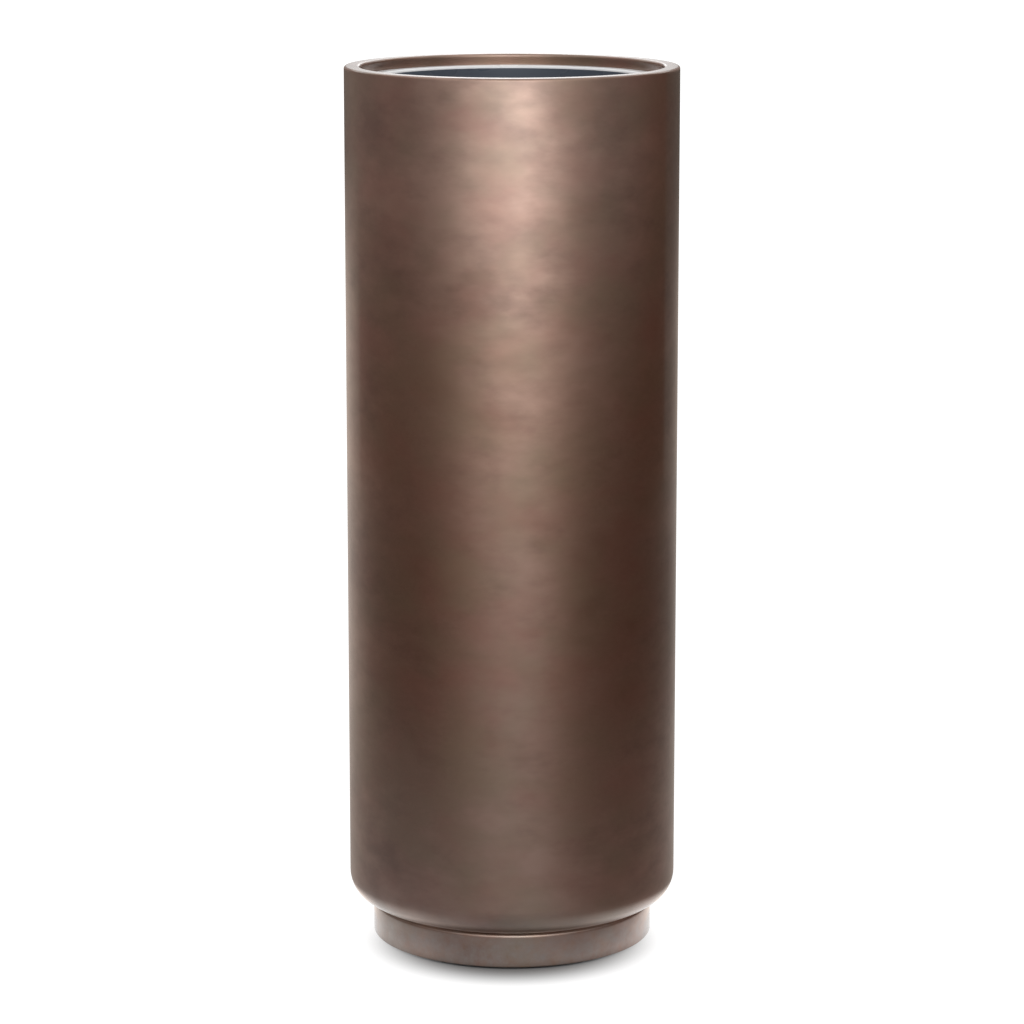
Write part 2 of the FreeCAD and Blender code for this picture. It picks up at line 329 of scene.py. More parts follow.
def made_plain(source, name):
    """The evaluated mesh of source as a new object; source and its modifiers go."""
    graph = bpy.context.evaluated_depsgraph_get()
    mesh = bpy.data.meshes.new_from_object(source.evaluated_get(graph))
    mesh.name = name
    close_and_smooth(mesh)
    source.modifiers.clear()
    bpy.data.objects.remove(source)
    return add_object(name, mesh)


def lathe(name, outline, steps=SMALL_TURN_STEPS):
    """A closed solid about the Z axis, from (radius, height) points that start and end on it."""
    work = bmesh.new()
    rings = []
    for radius, height in outline:
        if radius == 0:
            rings.append([work.verts.new((0, 0, height))])
            continue
        rings.append([
            work.verts.new((
                radius * math.cos(2 * math.pi * step / steps),
                radius * math.sin(2 * math.pi * step / steps),
                height,
            ))
            for step in range(steps)
        ])
    for low, high in zip(rings, rings[1:]):
        for step in range(steps):
            after = (step + 1) % steps
            corners = [low[step % len(low)], low[after % len(low)]]
            corners += [high[after % len(high)], high[step % len(high)]]
            work.faces.new(list(dict.fromkeys(corners)))
    mesh = bpy.data.meshes.new(name)
    work.to_mesh(mesh)
    work.free()
    close_and_smooth(mesh)
    return add_object(name, mesh)


# ---------------------------------------------------------------------------------------------
# Geometry node trees


class NodeTree:
    """A node tree under construction: adds nodes, links them and names its sockets."""

    def __init__(self, name, kind):
        self.tree = bpy.data.node_groups.new(name, kind)
        self.nodes = self.tree.nodes
        self.links = self.tree.links
        self.source = None

    def socket(self, name, side, kind, default=None):
        made = self.tree.interface.new_socket(name=name, in_out=side, socket_type=kind)
        if default is not None:
            made.default_value = default
        return made

    def ends(self):
        self.source = self.nodes.new("NodeGroupInput")
        return self.source.outputs, self.nodes.new("NodeGroupOutput").inputs

    def add(self, kind, inputs=None, **settings):
        node = self.nodes.new(kind)
        for key, value in settings.items():
            setattr(node, key, value)
        for key, value in (inputs or {}).items():
            if isinstance(value, bpy.types.NodeSocket):
                self.links.new(value, node.inputs[key])
            else:
                node.inputs[key].default_value = value
        return node


def geometry_tree(name, sockets):
    """A geometry tree with a Geometry input and output and these named inputs."""
    made = NodeTree(name, "GeometryNodeTree")
    made.socket("Geometry", "INPUT", "NodeSocketGeometry")
    for socket, kind, default in sockets:
        made.socket(socket, "INPUT", kind, default)
    made.socket("Geometry", "OUTPUT", "NodeSocketGeometry")
    return made


def socket_id(tree, name):
    """The identifier of a tree's input, by its name."""
    for item in tree.interface.items_tree:
        if item.in_out == "INPUT" and item.name == name:
            return item.identifier
    raise KeyError(name)


def run_tree(source, tree, values, name):
    """Runs a geometry tree on source with these input values, and returns the plain result."""
    modifier = source.modifiers.new(tree.name, "NODES")
    modifier.node_group = tree
    for key, value in values.items():
        modifier[socket_id(tree, key)] = value
    return made_plain(source, name)


def turning_tree():
    """Sweeps a closed XZ outline round the Z axis, and gives its bare part a second finish."""
    made = geometry_tree("Turned about the axis", [
        ("Steps", "NodeSocketInt", TURN_STEPS),
        ("Hub", "NodeSocketFloat", 0.05),
        ("Finish", "NodeSocketMaterial", None),
        ("Bare finish", "NodeSocketMaterial", None),
    ])
    inputs, outputs = made.ends()
    inwards = made.add("ShaderNodeMath", {0: inputs["Hub"], 1: -1.0}, operation="MULTIPLY")
    shift = made.add("ShaderNodeCombineXYZ", {"X": inwards.outputs[0]})
    shifted = made.add("GeometryNodeTransform", {
        "Geometry": inputs["Geometry"],
        "Translation": shift.outputs[0],
    })
    laid = made.add("GeometryNodeTransform", {
        "Geometry": shifted.outputs[0],
        "Rotation": (math.pi / 2, 0, 0),
    })
    outline = made.add("GeometryNodeMeshToCurve", {"Mesh": laid.outputs[0]})
    circle = made.add("GeometryNodeCurvePrimitiveCircle", {
        "Resolution": inputs["Steps"],
        "Radius": inputs["Hub"],
    })
    swept = made.add("GeometryNodeCurveToMesh", {
        "Curve": circle.outputs[0],
        "Profile Curve": outline.outputs[0],
    })
    real = made.add("GeometryNodeRealizeInstances", {"Geometry": swept.outputs[0]})
    finished = made.add("GeometryNodeSetMaterial", {
        "Geometry": real.outputs[0],
        "Material": inputs["Finish"],
    })
    bare = made.add("GeometryNodeInputNamedAttribute", {"Name": "bare"}, data_type="FLOAT")
    is_bare = made.add("FunctionNodeCompare", {0: bare.outputs["Attribute"], 1: 0.9})
    last = made.add("GeometryNodeSetMaterial", {
        "Geometry": finished.outputs[0],
        "Selection": is_bare.outputs[0],
        "Material": inputs["Bare finish"],
    })
    made.links.new(last.outputs[0], outputs["Geometry"])
    return made.tree


def wire_tree():
    """Draws a round wire with capped ends along a route of edges."""
    made = geometry_tree("Wire along a route", [
        ("Wire radius", "NodeSocketFloat", 0.002),
        ("Sides", "NodeSocketInt", 24),
        ("Finish", "NodeSocketMaterial", None),
    ])
    inputs, outputs = made.ends()
    route = made.add("GeometryNodeMeshToCurve", {"Mesh": inputs["Geometry"]})
    section = made.add("GeometryNodeCurvePrimitiveCircle", {
        "Resolution": inputs["Sides"],
        "Radius": inputs["Wire radius"],
    })
    drawn = made.add("GeometryNodeCurveToMesh", {
        "Curve": route.outputs[0],
        "Profile Curve": section.outputs[0],
        "Fill Caps": True,
    })
    real = made.add("GeometryNodeRealizeInstances", {"Geometry": drawn.outputs[0]})
    finished = made.add("GeometryNodeSetMaterial", {
        "Geometry": real.outputs[0],
        "Material": inputs["Finish"],
    })
    made.links.new(finished.outputs[0], outputs["Geometry"])
    return made.tree


def places_tree():
    """Sets a copy of a part on every point, turned about its Z axis by the point's facing."""
    made = geometry_tree("Part at each place", [
        ("Part", "NodeSocketObject", None),
        ("Finish", "NodeSocketMaterial", None),
    ])
    inputs, outputs = made.ends()
    part = made.add(
        "GeometryNodeObjectInfo", {"Object": inputs["Part"]}, transform_space="ORIGINAL"
    )
    points = made.add("GeometryNodeMeshToPoints", {"Mesh": inputs["Geometry"]})
    facing = made.add("GeometryNodeInputNamedAttribute", {"Name": "facing"}, data_type="FLOAT")
    turn = made.add("ShaderNodeCombineXYZ", {"Z": facing.outputs["Attribute"]})
    placed = made.add("GeometryNodeInstanceOnPoints", {
        "Points": points.outputs[0],
        "Instance": part.outputs["Geometry"],
        "Rotation": turn.outputs[0],
    })
    real = made.add("GeometryNodeRealizeInstances", {"Geometry": placed.outputs[0]})
    finished = made.add("GeometryNodeSetMaterial", {
        "Geometry": real.outputs[0],
        "Material": inputs["Finish"],
    })
    made.links.new(finished.outputs[0], outputs["Geometry"])
    return made.tree


def named_tree(name, make):
    """The node tree of this name, made the first time that it is asked for."""
    return bpy.data.node_groups.get(name) or make()


def turned(name, corners, finish, bare_finish=None):
    """A ring turned about the Z axis from (radius, height, rounding, bare) corners."""
    outline = rounded_outline(corners)
    mesh = bpy.data.meshes.new(name)
    count = len(outline)
    mesh.from_pydata(
        [(radius, 0, height) for radius, height, _ in outline],
        [(i, (i + 1) % count) for i in range(count)],
        [],
    )
    bare = mesh.attributes.new("bare", "FLOAT", "POINT")
    bare.data.foreach_set("value", [float(flag) for _, _, flag in outline])
    tree = named_tree("Turned about the axis", turning_tree)
    return run_tree(add_object(name + "_outline", mesh), tree, {
        "Steps": TURN_STEPS,
        "Finish": finish,
        "Bare finish": bare_finish or finish,
    }, name)


def set_at(name, part, places, finish):
    """Copies of a part at (position, facing) places, as one piece. The part itself goes."""
    mesh = bpy.data.meshes.new(name)
    mesh.from_pydata([place for place, _ in places], [], [])
    facing = mesh.attributes.new("facing", "FLOAT", "POINT")
    facing.data.foreach_set("value", [angle for _, angle in places])
    tree = named_tree("Part at each place", places_tree)
    piece = run_tree(add_object(name + "_places", mesh), tree, {
        "Part": part,
        "Finish": finish,
    }, name)
    bpy.data.objects.remove(part)
    return piece


# ---------------------------------------------------------------------------------------------
# Shader node groups

# The patina's layers: scales as multiples of the clouds' scale, and (x, y, z) stretches
PATCH_SCALE = 3.6
FLECK_SCALE = 22.0
HUE_SCALE = 1.5
RELIEF_SCALE = 3.0
CLOUD_STRETCH = (1.0, 1.0, 1.35)
RUBBED_STRETCH = (0.85, 0.85, 1.6)
FLECK_STRETCH = (0.7, 0.7, 1.6)
FLECK_SHARE = 0.12
OLIVE_PLACE = (3.1, 7.7, 1.3)
OLIVE_BAND = (0.42, 0.66)
RED_PLACE = (8.4, 2.2, 5.9)
RED_BAND = (0.45, 0.68)


def shader_group(name, inputs, outputs):
    """A shader group with a Vector input, these (name, default) values and these outputs."""
    made = NodeTree(name, "ShaderNodeTree")
    made.socket("Vector", "INPUT", "NodeSocketVector")
    for socket, default in inputs:
        made.socket(socket, "INPUT", "NodeSocketFloat", default)
    for socket in outputs:
        made.socket(socket, "OUTPUT", "NodeSocketFloat")
    return made


def mixed(made, operation, first, second, clamp=False):
    """A math node's output."""
    node = made.add("ShaderNodeMath", {0: first, 1: second}, operation=operation, use_clamp=clamp)
    return node.outputs[0]


def noise(made, vector, scale, detail=3.0, roughness=0.5, distortion=0.0):
    """A noise texture's output, from 0 to 1."""
    node = made.add("ShaderNodeTexNoise", {
        "Vector": vector,
        "Scale": scale,
        "Detail": detail,
        "Roughness": roughness,
        "Distortion": distortion,
    })
    return node.outputs[0]


def stretched(made, vector, stretch):
    """The vector times the (x, y, z) stretch."""
    node = made.add("ShaderNodeVectorMath", {0: vector, 1: stretch}, operation="MULTIPLY")
    return node.outputs[0]


def moved(made, vector, shift):
    """The vector plus the (x, y, z) shift."""
    node = made.add("ShaderNodeVectorMath", {0: vector, 1: shift}, operation="ADD")
    return node.outputs[0]


def spread(made, value, low, high):
    """The value with low carried to 0 and high to 1."""
    node = made.add("ShaderNodeMapRange", {"Value": value, "From Min": low, "From Max": high})
    return node.outputs[0]


def patina_group():
    """Cloudy hand-rubbed patina: how light, olive and red it is, and a faint relief."""
    made = shader_group(
        "Cloudy patina",
        [("Cloud scale", 8.0), ("Mottle", 0.5), ("Contrast", 1.0)],
        ["Tone", "Olive", "Redness", "Relief"],
    )
    inputs, outputs = made.ends()
    vector = inputs["Vector"]

    def scaled(multiple):
        return mixed(made, "MULTIPLY", inputs["Cloud scale"], multiple)

    def centred(value, share):
        return mixed(made, "MULTIPLY", mixed(made, "SUBTRACT", value, 0.5), share)

    wide = stretched(made, vector, CLOUD_STRETCH)
    rubbed = stretched(made, vector, RUBBED_STRETCH)
    fine = stretched(made, vector, FLECK_STRETCH)
    clouds = noise(made, wide, inputs["Cloud scale"], 3.0, 0.5, 0.1)
    patches = noise(made, rubbed, scaled(PATCH_SCALE), 2.0, 0.5)
    flecks = noise(made, fine, scaled(FLECK_SCALE), 3.0, 0.65)
    uneven = mixed(made, "ADD", centred(clouds, 1.0), centred(patches, inputs["Mottle"]))
    uneven = mixed(made, "ADD", uneven, centred(flecks, FLECK_SHARE))
    contrasted = mixed(made, "MULTIPLY", uneven, inputs["Contrast"])
    made.links.new(mixed(made, "ADD", contrasted, 0.5, clamp=True), outputs["Tone"])
    for output, place, band in (
        ("Olive", OLIVE_PLACE, OLIVE_BAND),
        ("Redness", RED_PLACE, RED_BAND),
    ):
        hue = noise(made, moved(made, wide, place), scaled(HUE_SCALE), 3.0, 0.5)
        made.links.new(spread(made, hue, *band), outputs[output])
    made.links.new(noise(made, rubbed, scaled(RELIEF_SCALE), 1.0, 0.5), outputs["Relief"])
    return made.tree


def grain_group():
    """Fine grain of a moulded or lacquered skin, with wide faint unevenness."""
    made = shader_group(
        "Skin grain", [("Grain scale", 900.0), ("Drift scale", 6.0)], ["Grain", "Drift"]
    )
    inputs, outputs = made.ends()
    grain = noise(made, inputs["Vector"], inputs["Grain scale"], 2.0, 0.6)
    drift = noise(made, inputs["Vector"], inputs["Drift scale"], 3.0, 0.5, 0.4)
    made.links.new(grain, outputs["Grain"])
    made.links.new(drift, outputs["Drift"])
    return made.tree


def low_sheen_group():
    """A paler grey low on a piece, a painted sheen of the floor's reflection: 1 at the low height,
    0 above the high one, broken by noise.
    """
    made = shader_group(
        "Painted low sheen", [("Low", 0.0), ("High", 0.05), ("Break scale", 40.0)], ["Painted sheen"]
    )
    inputs, outputs = made.ends()
    place = made.add("ShaderNodeSeparateXYZ", {"Vector": inputs["Vector"]})
    low = spread(made, place.outputs["Z"], inputs["High"], inputs["Low"])
    breaks = noise(made, inputs["Vector"], inputs["Break scale"], 5.0, 0.7)
    low_sheen = mixed(made, "MULTIPLY", low, spread(made, breaks, 0.3, 0.75))
    made.links.new(low_sheen, outputs["Painted sheen"])
    return made.tree


def mix_ends(links, node, first, second):
    """Puts two colours or sockets into a Mix node, and returns its colour."""
    for name, value in (("A", first), ("B", second)):
        socket = next(s for s in node.inputs if s.name == name and s.type == "RGBA")
        if isinstance(value, bpy.types.NodeSocket):
            links.new(value, socket)
        else:
            socket.default_value = (*value, 1)
    return next(s for s in node.outputs if s.type == "RGBA")


# ---------------------------------------------------------------------------------------------
# Materials


class Finish:
    """A material under construction round one Principled shader."""

    def __init__(self, name, **settings):
        self.material = bpy.data.materials.new(name)
        self.material.use_nodes = True
        self.nodes = self.material.node_tree.nodes
        self.links = self.material.node_tree.links
        self.shader = self.nodes["Principled BSDF"]
        for key, value in settings.items():
            label = key.replace("_", " ").title().replace("Ior", "IOR")
            self.shader.inputs[label].default_value = value
        self.place = self.nodes.new("ShaderNodeTexCoord").outputs["Object"]

    def group(self, name, make, **values):
        node = self.nodes.new("ShaderNodeGroup")
        node.node_tree = named_tree(name, make)
        self.links.new(self.place, node.inputs["Vector"])
        for key, value in values.items():
            node.inputs[key.replace("_", " ").capitalize()].default_value = value
        return node.outputs

    def colour_mix(self, factor, first, second, top=1.0):
        """A mix of two colours or sockets, up to top of the second."""
        node = self.nodes.new("ShaderNodeMix")
        node.data_type = "RGBA"
        self.links.new(self.ranged(factor, 0.0, top), node.inputs["Factor"])
        return mix_ends(self.links, node, first, second)

    def ranged(self, value, low, high):
        """The value with 0 carried to low and 1 to high."""
        node = self.nodes.new("ShaderNodeMapRange")
        self.links.new(value, node.inputs["Value"])
        node.inputs["To Min"].default_value = low
        node.inputs["To Max"].default_value = high
        return node.outputs[0]

    def set(self, name, value):
        self.links.new(value, self.shader.inputs[name])

    def bump(self, height, strength, distance, normal=None):
        """A bump node's normal."""
        node = self.nodes.new("ShaderNodeBump")
        node.inputs["Strength"].default_value = strength
        node.inputs["Distance"].default_value = distance
        self.links.new(height, node.inputs["Height"])
        if normal is not None:
            self.links.new(normal, node.inputs["Normal"])
        return node.outputs[0]


def bronze_lacquer(name, sheen_height, sheen_share):
    """Satin metallic bronze with a cloudy patina under a clear coat."""
    finish = bpy.context.scene.planter_finish
    made = Finish(name, metallic=1.0, coat_weight=1.0, coat_roughness=0.14, coat_ior=1.6)
    patina = made.group("Cloudy patina", patina_group, cloud_scale=8.0, mottle=0.55, contrast=2.6)
    grain = made.group("Skin grain", grain_group, grain_scale=700.0, drift_scale=5.0)
    # Painted sheen: greyer colour towards the bottom, for the reflection of the pale floor
    low_sheen = made.group("Painted low sheen", low_sheen_group, low=0.0, high=sheen_height, break_scale=60.0)
    bronze = made.colour_mix(patina["Tone"], finish.bronze_dark, finish.bronze_light)
    reddened = made.colour_mix(patina["Redness"], bronze, finish.bronze_red, 0.50)
    cooled = made.colour_mix(patina["Olive"], reddened, finish.bronze_cool, 0.50)
    sheened = made.colour_mix(low_sheen["Painted sheen"], cooled, finish.low_sheen_colour, sheen_share)
    made.set("Base Color", sheened)
    made.set("Roughness", made.ranged(patina["Tone"], 0.46, 0.34))
    wavy = made.bump(patina["Relief"], 0.04, 0.005)
    made.set("Normal", made.bump(grain["Grain"], 0.06, 0.0004, wavy))
    return made.material


def liner_plastic(name):
    """Anthracite satin plastic with a fine moulded grain."""
    finish = bpy.context.scene.planter_finish
    made = Finish(name, specular_ior_level=0.6)
    grain = made.group("Skin grain", grain_group, grain_scale=600.0, drift_scale=7.0)
    light = tuple(1.5 * channel for channel in finish.liner_colour)
    made.set("Base Color", made.colour_mix(grain["Drift"], finish.liner_colour, light))
    made.set("Roughness", made.ranged(grain["Drift"], 0.22, 0.34))
    made.set("Normal", made.bump(grain["Grain"], 0.05, 0.0003))
    return made.material


def pale_plastic_and_highlight(name):
    """Pale satin plastic of the liner's flange; its pale colour is also a painted highlight along
    the flange's edge.
    """
    finish = bpy.context.scene.planter_finish
    made = Finish(name, specular_ior_level=0.6)
    grain = made.group("Skin grain", grain_group, grain_scale=600.0, drift_scale=16.0)
    worn = tuple(0.86 * channel for channel in finish.flange_colour_and_highlight)
    made.set("Base Color", made.colour_mix(grain["Drift"], worn, finish.flange_colour_and_highlight))
    made.set("Roughness", made.ranged(grain["Drift"], 0.20, 0.32))
    made.set("Normal", made.bump(grain["Grain"], 0.04, 0.0003))
    return made.material


def bare_laminate(name):
    """Unpainted fiberglass: a mat of strands under resin."""
    finish = bpy.context.scene.planter_finish
    made = Finish(name, specular_ior_level=0.45)
    grain = made.group("Skin grain", grain_group, grain_scale=260.0, drift_scale=9.0)
    pale = tuple(min(1.0, 1.35 * channel + 0.03) for channel in finish.laminate_colour)
    made.set("Base Color", made.colour_mix(grain["Grain"], finish.laminate_colour, pale))
    made.set("Roughness", made.ranged(grain["Drift"], 0.45, 0.70))
    strands = made.bump(grain["Grain"], 0.45, 0.0012)
    made.set("Normal", made.bump(grain["Drift"], 0.20, 0.006, strands))
    return made.material


def steel(name, rough_low, rough_high):
    """Satin stainless steel with fine drawn marks."""
    finish = bpy.context.scene.planter_finish
    made = Finish(name, metallic=1.0)
    grain = made.group("Skin grain", grain_group, grain_scale=1600.0, drift_scale=30.0)
    worn = tuple(0.78 * channel for channel in finish.steel_colour)
    made.set("Base Color", made.colour_mix(grain["Drift"], finish.steel_colour, worn))
    made.set("Roughness", made.ranged(grain["Grain"], rough_low, rough_high))
    made.set("Normal", made.bump(grain["Grain"], 0.08, 0.0001))
    return made.material


def rubber(name):
    """Matt black rubber with a pale, powdery bloom."""
    finish = bpy.context.scene.planter_finish
    made = Finish(name, specular_ior_level=0.35)
    grain = made.group("Skin grain", grain_group, grain_scale=1300.0, drift_scale=45.0)
    bloom = tuple(channel + 0.030 for channel in finish.rubber_colour)
    made.set("Base Color", made.colour_mix(grain["Drift"], finish.rubber_colour, bloom))
    made.set("Roughness", made.ranged(grain["Drift"], 0.62, 0.85))
    made.set("Normal", made.bump(grain["Grain"], 0.25, 0.0002))
    return made.material


def named_material(name, make, *values):
    """The material of this name, made the first time that it is asked for."""
    return bpy.data.materials.get(name) or make(name, *values)


def bronze():
    return named_material("clouded_bronze", bronze_lacquer, 0.10, 0.35)


# The foot gets more of the painted sheen, for its greyer reflection of the floor
def foot_bronze():
    return named_material("clouded_foot_bronze", bronze_lacquer, 0.09, 0.75)


def laminate():
    return named_material("bare_laminate", bare_laminate)


def liner_finish():
    return named_material("anthracite_plastic", liner_plastic)


def flange_pale_and_highlight():
    return named_material("pale_plastic_and_highlight", pale_plastic_and_highlight)


def fastener_steel():
    return named_material("satin_steel", steel, 0.26, 0.42)


def handle_steel():
    return named_material("drawn_steel_wire", steel, 0.18, 0.30)


def rubber_finish():
    return named_material("matt_rubber", rubber)


def dress_nodes(names, material):
    """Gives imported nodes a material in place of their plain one."""
    for name in names:
        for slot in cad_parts[name].material_slots:
            slot.material = material


# ---------------------------------------------------------------------------------------------
# Operators, one for each piece or group of like pieces


class PLANTER_OT_shell(Operator):
    """Build the lacquered body with its rim, inner skirt and rounded shoulder"""

    bl_idname = "planter.shell"
    bl_label = "Lacquered shell"

    def execute(self, context):
        sizes = context.scene.planter_sizes
        base_radius = FOOT_RADIUS - sizes.foot_flange - sizes.base_lip
        underside = SHELL_LOW.z
        top = SHELL_HIGH.z
        inside = BODY_RADIUS - SHELL_WALL
        skirt_back = SKIRT_RADIUS + SHELL_WALL
        lip = SHELL_WALL / 4
        piece = turned("lacquered_shell", [
            (base_radius, underside, lip, 0),
            (BODY_RADIUS, underside, sizes.shoulder, 0),
            (BODY_RADIUS, top, sizes.rim_edge, 0),
            (SKIRT_RADIUS, top, sizes.rim_edge, 0),
            (SKIRT_RADIUS, sizes.skirt_bottom, lip, 0),
            (skirt_back, sizes.skirt_bottom, lip, 1),
            (skirt_back, top - SHELL_WALL, SHELL_WALL / 2, 1),
            (inside, top - SHELL_WALL, SHELL_WALL / 2, 1),
            (inside, underside + SHELL_WALL, sizes.shoulder - SHELL_WALL, 1),
            (base_radius, underside + SHELL_WALL, lip, 1),
        ], bronze(), laminate())
        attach(piece, "planter_body")
        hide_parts("outer_shell")
        return {"FINISHED"}


class PLANTER_OT_foot(Operator):
    """Build the recessed foot under the body"""

    bl_idname = "planter.foot"
    bl_label = "Recessed foot"

    def execute(self, context):
        sizes = context.scene.planter_sizes
        wall = sizes.foot_wall
        flange = FOOT_RADIUS - sizes.foot_flange
        inside = FOOT_RADIUS - wall
        low = FOOT_LOW.z
        high = FOOT_HIGH.z
        piece = turned("lacquered_foot", [
            (flange, low, MOULDED_EDGE, 0),
            (FOOT_RADIUS, low, FOOT_LOW_EDGE, 0),
            (FOOT_RADIUS, high, sizes.foot_top_edge, 0),
            (flange, high, MOULDED_EDGE, 1),
            (flange, high - wall, MOULDED_EDGE, 1),
            (inside, high - wall, INNER_CORNER, 1),
            (inside, low + wall, INNER_CORNER, 1),
            (flange, low + wall, MOULDED_EDGE, 1),
        ], foot_bronze(), laminate())
        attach(piece, "planter_body")
        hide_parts("foot_ring")
        return {"FINISHED"}


class PLANTER_OT_floor_panel(Operator):
    """Build the panel that closes the body above the foot"""

    bl_idname = "planter.floor_panel"
    bl_label = "Floor panel"

    def execute(self, context):
        sizes = context.scene.planter_sizes
        piece = turned("glassed_floor_panel", [
            (sizes.drain_radius, FLOOR_LOW.z, CUT_EDGE, 1),
            (FLOOR_RADIUS, FLOOR_LOW.z, CUT_EDGE, 1),
            (FLOOR_RADIUS, FLOOR_HIGH.z, INNER_CORNER, 1),
            (sizes.drain_radius, FLOOR_HIGH.z, CUT_EDGE, 1),
        ], laminate())
        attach(piece, "planter_body")
        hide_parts("base_floor")
        return {"FINISHED"}


class PLANTER_OT_ledge(Operator):
    """Build the ledge ring inside the skirt that carries the liner"""

    bl_idname = "planter.ledge"
    bl_label = "Liner ledge"

    def execute(self, context):
        sizes = context.scene.planter_sizes
        edge = SKIRT_RADIUS - sizes.ledge_width
        leg = SKIRT_RADIUS - sizes.ledge_thickness
        top = LEDGE_HIGH.z
        piece = turned("liner_ledge", [
            (edge, top, CUT_EDGE, 1),
            (edge, top - sizes.ledge_thickness, CUT_EDGE, 1),
            (leg, top - sizes.ledge_thickness, MOULDED_EDGE, 1),
            (leg, LEDGE_LOW.z, CUT_EDGE, 1),
            (SKIRT_RADIUS, LEDGE_LOW.z, 0, 1),
            (SKIRT_RADIUS, top, 0, 1),
        ], laminate())
        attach(piece, "planter_body")
        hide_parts("liner_ledge_ring")
        return {"FINISHED"}


class PLANTER_OT_liner(Operator):
    """Build the lift-out liner with its flange, collar, taper and drained floor"""

    bl_idname = "planter.liner"
    bl_label = "Liner"

    def execute(self, context):
        sizes = context.scene.planter_sizes
        wall = sizes.liner_wall
        collar = SKIRT_RADIUS - sizes.ledge_width - sizes.collar_gap
        inside = collar - wall
        base = collar - sizes.liner_taper
        taper_top = LINER_HIGH.z - sizes.collar_height
        bottom = LINER_LOW.z
        drain = sizes.drain_radius
        piece = turned("liner_pot_wall", [
            (drain, bottom, CUT_EDGE, 0),
            (base, bottom, sizes.liner_corner, 0),
            (collar, taper_top, 0, 0),
            (collar, LEDGE_HIGH.z, COLLAR_EDGE, 0),
            (FLANGE_RADIUS, LEDGE_HIGH.z, CUT_EDGE, 1),
            (FLANGE_RADIUS, LINER_HIGH.z, wall / 3, 1),
            (inside, LINER_HIGH.z, wall, 1),
            (inside, taper_top, 0, 0),
            (base - wall, bottom + wall, sizes.liner_corner - wall, 0),
            (drain, bottom + wall, CUT_EDGE, 0),
        ], liner_finish(), flange_pale_and_highlight())
        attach(piece, "liner_pot")
        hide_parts("liner")
        return {"FINISHED"}


class PLANTER_OT_handles(Operator):
    """Bend the two wire handles that the liner is lifted by"""

    bl_idname = "planter.handles"
    bl_label = "Wire handles"

    span: FloatProperty(
        name="Span", description="Between the legs' centres", default=0.084, unit="LENGTH"
    )
    pivot_bend: FloatProperty(
        name="Pivot bend", description="Centreline radius at the pivot", default=0.005,
        unit="LENGTH",
    )
    grip_bend: FloatProperty(
        name="Grip bend", description="Centreline radius at the grip", default=0.010,
        unit="LENGTH",
    )

    def execute(self, context):
        pivot = HANDLE_HIGH.z - WIRE_RADIUS
        grip = HANDLE_LOW.z + WIRE_RADIUS
        end = HANDLE_HIGH.y
        half = self.span / 2
        route = rounded_route([
            (-end, pivot, 0),
            (-half, pivot, self.pivot_bend),
            (-half, grip, self.grip_bend),
            (half, grip, self.grip_bend),
            (half, pivot, self.pivot_bend),
            (end, pivot, 0),
        ])
        tree = named_tree("Wire along a route", wire_tree)
        for side, sign in (("left", -1), ("right", 1)):
            name = f"{side}_wire_handle"
            mesh = bpy.data.meshes.new(name)
            mesh.from_pydata(
                [(sign * HANDLE_X, y, z) for y, z in route],
                [(i, i + 1) for i in range(len(route) - 1)],
                [],
            )
            piece = run_tree(add_object(name + "_route", mesh), tree, {
                "Wire radius": WIRE_RADIUS,
                "Finish": handle_steel(),
            }, name)
            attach(piece, f"{side}_lifting_handle")
            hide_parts(f"{side}_handle")
        return {"FINISHED"}


class PLANTER_OT_lugs(Operator):
    """Finish the four lugs that the handles turn in"""

    bl_idname = "planter.lugs"
    bl_label = "Handle lugs"

    def execute(self, context):
        names = [f"{side}_{end}_lug" for side in ("left", "right") for end in ("front", "rear")]
        dress_nodes(names, fastener_steel())
        return {"FINISHED"}


class PLANTER_OT_rivets(Operator):
    """Finish the rivets and washers that hold the lugs"""

    bl_idname = "planter.rivets"
    bl_label = "Rivets and washers"

    def execute(self, context):
        dress_nodes(["lug_rivets", "rivet_washers"], fastener_steel())
        return {"FINISHED"}


class PLANTER_OT_plugs(Operator):
    """Finish the two rubber drain plugs"""

    bl_idname = "planter.plugs"
    bl_label = "Drain plugs"

    def execute(self, context):
        dress_nodes(["liner_drain_plug", "floor_drain_plug"], rubber_finish())
        return {"FINISHED"}


class PLANTER_OT_foot_pads(Operator):
    """Set the rubber pads under the foot"""

    bl_idname = "planter.foot_pads"
    bl_label = "Foot pads"

    edge: FloatProperty(
        name="Edge", description="Rounding of a pad's rim", default=0.0005, unit="LENGTH"
    )

    def execute(self, context):
        top = PAD_HIGH.z
        outline = [(0, 0)]
        for angle in map(math.radians, (0, 30, 60, 90)):
            inset = self.edge * (1 - math.sin(angle))
            outline.append((PAD_RADIUS - inset, self.edge * (1 - math.cos(angle))))
        outline += [(PAD_RADIUS, top), (0, top)]
        places = []
        for index in range(FOOT_PADS):
            angle = 2 * math.pi * index / FOOT_PADS
            places.append(((PAD_RING * math.cos(angle), PAD_RING * math.sin(angle), 0), angle))
        piece = set_at("foot_pads", lathe("foot_pad", outline), places, rubber_finish())
        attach(piece, "planter_body")
        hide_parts(*[f"foot_pad_{index + 1}" for index in range(FOOT_PADS)])
        return {"FINISHED"}


class PLANTER_OT_stage(Operator):
    """Set up the floor, the white surroundings, the lamps and the camera"""

    bl_idname = "planter.stage"
    bl_label = "Studio"

    def execute(self, context):
        studio = context.scene.planter_studio
        white_surroundings(context.scene, studio)
        pale_floor()
        reflected_screens()
        softbox(studio)
        photo_camera(context.scene, studio)
        context.scene.view_settings.view_transform = "Standard"
        return {"FINISHED"}


# ---------------------------------------------------------------------------------------------
# Studio

SENSOR_WIDTH = 36.0
WHITE = (1, 1, 1, 1)

